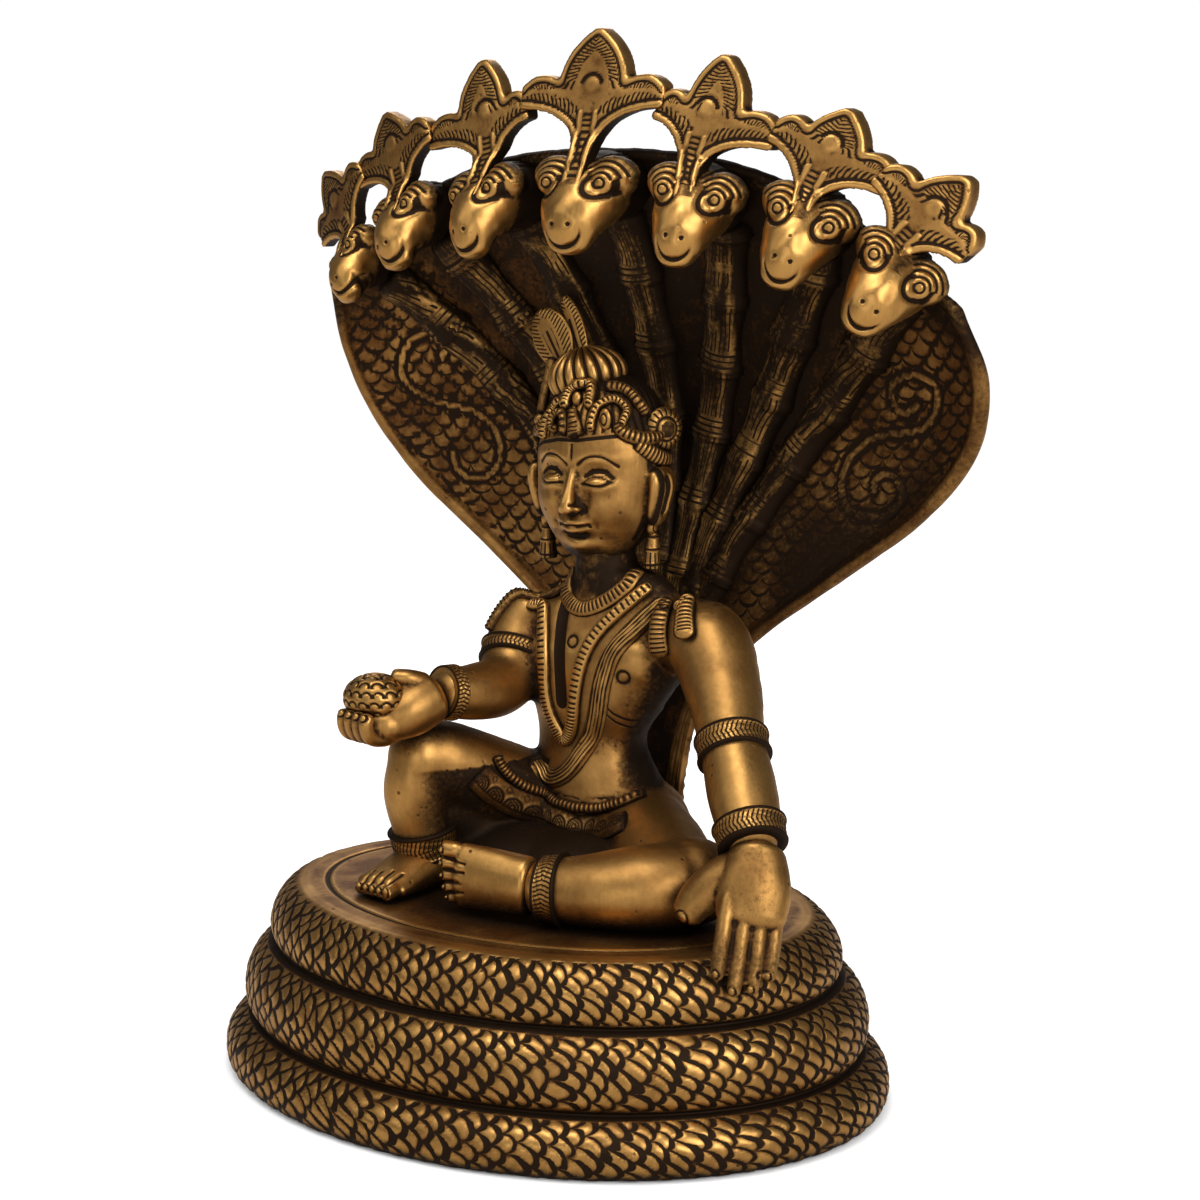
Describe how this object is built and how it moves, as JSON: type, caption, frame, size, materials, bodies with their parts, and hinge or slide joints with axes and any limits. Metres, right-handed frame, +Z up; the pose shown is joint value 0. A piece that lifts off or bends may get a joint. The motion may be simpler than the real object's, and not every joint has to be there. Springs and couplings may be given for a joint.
{
  "type": "seated figure under a serpent hood",
  "caption": "Cast brass figure of a seated child holding a ball, in the shade of a many-headed serpent hood, on an oval plinth of stacked scaly coils.",
  "frame": {"origin": "middle of the flat underside of the plinth", "axes": "+Z up, -Y the side the figure faces, +X the viewer's right, across the figure and hood"},
  "size_m": [0.2266, 0.164, 0.3044],
  "materials": {
    "antique_brass": "hand-chased cast brass, golden brown where rubbed, dark brown-black patina in the recesses"
  },
  "bodies": {
    "root": {"figure_on_serpent": "antique_brass"}
  },
  "joints": []
}
